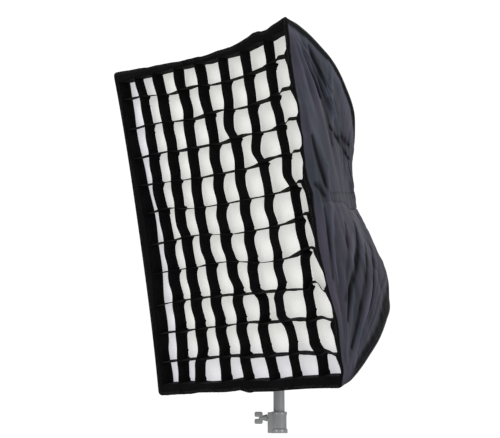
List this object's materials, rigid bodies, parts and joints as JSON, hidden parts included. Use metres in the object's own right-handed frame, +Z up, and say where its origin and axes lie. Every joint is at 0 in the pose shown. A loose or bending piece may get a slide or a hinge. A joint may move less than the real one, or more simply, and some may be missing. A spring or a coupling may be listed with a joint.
{
  "type": "umbrella softbox with egg-crate grid",
  "caption": "Rectangular umbrella-frame softbox with fabric egg-crate grid, tilting bracket and the top of a light stand; ribs fold with a sliding runner.",
  "frame": {"origin": "centre of the flat bottom face of the stand collar, on the pole axis", "axes": "+Z up along the pole, -Y the way the front of the softbox faces at rest, +X to the right seen from behind the bracket looking out of the back"},
  "size_m": [0.6, 0.6884, 0.9794],
  "materials": {
    "nylon_shell": "coated nylon, slight sheen",
    "black_web": "matte black woven",
    "diffuser_white": "white woven diffusion cloth",
    "pole_grey": "grey satin",
    "cast_grey": "grey die-cast satin",
    "steel": "bright",
    "black_plastic": "moulded, satin",
    "black_metal": "black satin",
    "rib_black": "black coated",
    "brass": "nickel-brass zip",
    "red_plastic": "red"
  },
  "bodies": {
    "stand": {"stand_collar": "cast_grey"},
    "collar_thumbscrew": {"collar_thumbscrew": "cast_grey"},
    "pole": {"stand_pole": "pole_grey", "spigot": "steel"},
    "bracket_base": {"bracket_base": "black_metal"},
    "spigot_knob": {"spigot_knob": "black_plastic"},
    "bracket_head": {"bracket_head": "black_metal", "tilt_bolt": "steel", "cold_shoe": "steel"},
    "tilt_lever": {"tilt_lever": "black_plastic"},
    "shaft_knob": {"shaft_knob": "black_plastic"},
    "softbox": {"shaft": "steel", "shaft_front_cap": "black_plastic", "rear_ferrule": "black_plastic", "crown_cap": "black_plastic", "apex_patch": "black_web", "crown": "black_plastic", "crown_pin_top_right": "steel", "crown_pin_top_left": "steel", "crown_pin_bottom_left": "steel", "crown_pin_bottom_right": "steel", "panel_right": "nylon_shell", "panel_left": "nylon_shell", "panel_top": "nylon_shell", "panel_bottom": "nylon_shell", "loop_strip_right": "black_web", "loop_strip_left": "black_web", "loop_strip_top": "black_web", "loop_strip_bottom": "black_web", "front_hem": "black_web", "egg_crate_grid": "black_web", "front_diffuser": "diffuser_white", "zip_tape": "black_web"},
    "runner": {"runner": "black_plastic", "runner_pin_top_right": "steel", "runner_pin_top_left": "steel", "runner_pin_bottom_left": "steel", "runner_pin_bottom_right": "steel"},
    "runner_button": {"runner_button": "red_plastic"},
    "zip_slider_front": {"zip_slider_front": "brass"},
    "zip_slider_rear": {"zip_slider_rear": "brass"},
    "rib_top_right": {"rib_top_right": "rib_black", "rib_tip_top_right": "black_plastic", "corner_pocket_top_right": "black_web"},
    "stretcher_top_right": {"stretcher_top_right": "rib_black"},
    "rib_top_left": {"rib_top_left": "rib_black", "rib_tip_top_left": "black_plastic", "corner_pocket_top_left": "black_web"},
    "stretcher_top_left": {"stretcher_top_left": "rib_black"},
    "rib_bottom_left": {"rib_bottom_left": "rib_black", "rib_tip_bottom_left": "black_plastic", "corner_pocket_bottom_left": "black_web"},
    "stretcher_bottom_left": {"stretcher_bottom_left": "rib_black"},
    "rib_bottom_right": {"rib_bottom_right": "rib_black", "rib_tip_bottom_right": "black_plastic", "corner_pocket_bottom_right": "black_web"},
    "stretcher_bottom_right": {"stretcher_bottom_right": "rib_black"}
  },
  "joints": [
    {"name": "pole_telescope", "type": "slide", "parent": "stand", "child": "pole", "axis": [0, 0, 1], "range_m": [0, 0.03]},
    {"name": "collar_thumbscrew_turn", "type": "hinge", "parent": "stand", "child": "collar_thumbscrew", "pos_m": [0, 0, 0.04], "axis": [-0.7756, -0.6312, 0], "range_deg": [0, 180]},
    {"name": "bracket_pan", "type": "hinge", "parent": "pole", "child": "bracket_base", "pos_m": [0, 0, 0.526], "axis": [0, 0, 1], "continuous": true},
    {"name": "spigot_knob_turn", "type": "hinge", "parent": "bracket_base", "child": "spigot_knob", "pos_m": [0, 0.02, 0.526], "axis": [0, 1, 0], "range_deg": [0, 180]},
    {"name": "head_tilt", "type": "hinge", "parent": "bracket_base", "child": "bracket_head", "pos_m": [0, 0, 0.5715], "axis": [1, 0, 0], "range_deg": [-23, 9]},
    {"name": "tilt_lever_turn", "type": "hinge", "parent": "bracket_head", "child": "tilt_lever", "pos_m": [0.02, 0, 0.5715], "axis": [1, 0, 0], "range_deg": [0, 90]},
    {"name": "shaft_knob_turn", "type": "hinge", "parent": "bracket_head", "child": "shaft_knob", "pos_m": [-0.02, -0.00639, 0.59876], "axis": [-1, 0, 0], "range_deg": [0, 180]},
    {"name": "shaft_slide", "type": "slide", "parent": "bracket_head", "child": "softbox", "axis": [0, -0.9736, -0.2282], "range_m": [-0.06, 0]},
    {"name": "runner_slide", "type": "slide", "parent": "softbox", "child": "runner", "axis": [0, -0.9736, -0.2282], "range_m": [0, 0.07986], "deforming": ["panel_right", "panel_left", "panel_top", "panel_bottom", "loop_strip_right", "loop_strip_left", "loop_strip_top", "loop_strip_bottom", "front_hem", "egg_crate_grid", "front_diffuser"]},
    {"name": "rib_fold_top_right", "type": "hinge", "parent": "softbox", "child": "rib_top_right", "pos_m": [0.00943, 0.29094, 0.68297], "axis": [0.832, 0.1266, -0.5401], "range_deg": [0, 38]},
    {"name": "rib_fold_top_left", "type": "hinge", "parent": "softbox", "child": "rib_top_left", "pos_m": [-0.00943, 0.29094, 0.68297], "axis": [0.832, -0.1266, 0.5401], "range_deg": [0, 38]},
    {"name": "rib_fold_bottom_left", "type": "hinge", "parent": "softbox", "child": "rib_bottom_left", "pos_m": [-0.00943, 0.2974, 0.65543], "axis": [-0.832, -0.1266, 0.5401], "range_deg": [0, 38]},
    {"name": "rib_fold_bottom_right", "type": "hinge", "parent": "softbox", "child": "rib_bottom_right", "pos_m": [0.00943, 0.2974, 0.65543], "axis": [-0.832, 0.1266, -0.5401], "range_deg": [0, 38]},
    {"name": "stretcher_swing_top_right", "type": "hinge", "parent": "runner", "child": "stretcher_top_right", "pos_m": [0.00777, 0.21167, 0.66183], "axis": [-0.832, -0.1266, 0.5401], "range_deg": [0, 26.1]},
    {"name": "stretcher_swing_top_left", "type": "hinge", "parent": "runner", "child": "stretcher_top_left", "pos_m": [-0.00777, 0.21167, 0.66183], "axis": [-0.832, 0.1266, -0.5401], "range_deg": [0, 26.1]},
    {"name": "stretcher_swing_bottom_left", "type": "hinge", "parent": "runner", "child": "stretcher_bottom_left", "pos_m": [-0.00777, 0.21699, 0.63915], "axis": [0.832, 0.1266, -0.5401], "range_deg": [0, 26.1]},
    {"name": "stretcher_swing_bottom_right", "type": "hinge", "parent": "runner", "child": "stretcher_bottom_right", "pos_m": [0.00777, 0.21699, 0.63915], "axis": [0.832, -0.1266, 0.5401], "range_deg": [0, 26.1]},
    {"name": "runner_button_press", "type": "slide", "parent": "runner", "child": "runner_button", "axis": [0, -0.2282, 0.9736], "range_m": [0, 0.002]},
    {"name": "zip_front_slide", "type": "slide", "parent": "softbox", "child": "zip_slider_front", "axis": [0, -0.9233, -0.3841], "range_m": [-0.06, 0]},
    {"name": "zip_rear_slide", "type": "slide", "parent": "softbox", "child": "zip_slider_rear", "axis": [0, -0.8112, -0.5848], "range_m": [0, 0.09]}
  ],
  "couplings": [
    {"joint": "rib_fold_top_right", "follows": "runner_slide", "rad_per_m": 8.3044},
    {"joint": "rib_fold_top_left", "follows": "runner_slide", "rad_per_m": 8.3044},
    {"joint": "rib_fold_bottom_left", "follows": "runner_slide", "rad_per_m": 8.3044},
    {"joint": "rib_fold_bottom_right", "follows": "runner_slide", "rad_per_m": 8.3044},
    {"joint": "stretcher_swing_top_right", "follows": "runner_slide", "rad_per_m": 5.703},
    {"joint": "stretcher_swing_top_left", "follows": "runner_slide", "rad_per_m": 5.703},
    {"joint": "stretcher_swing_bottom_left", "follows": "runner_slide", "rad_per_m": 5.703},
    {"joint": "stretcher_swing_bottom_right", "follows": "runner_slide", "rad_per_m": 5.703}
  ]
}
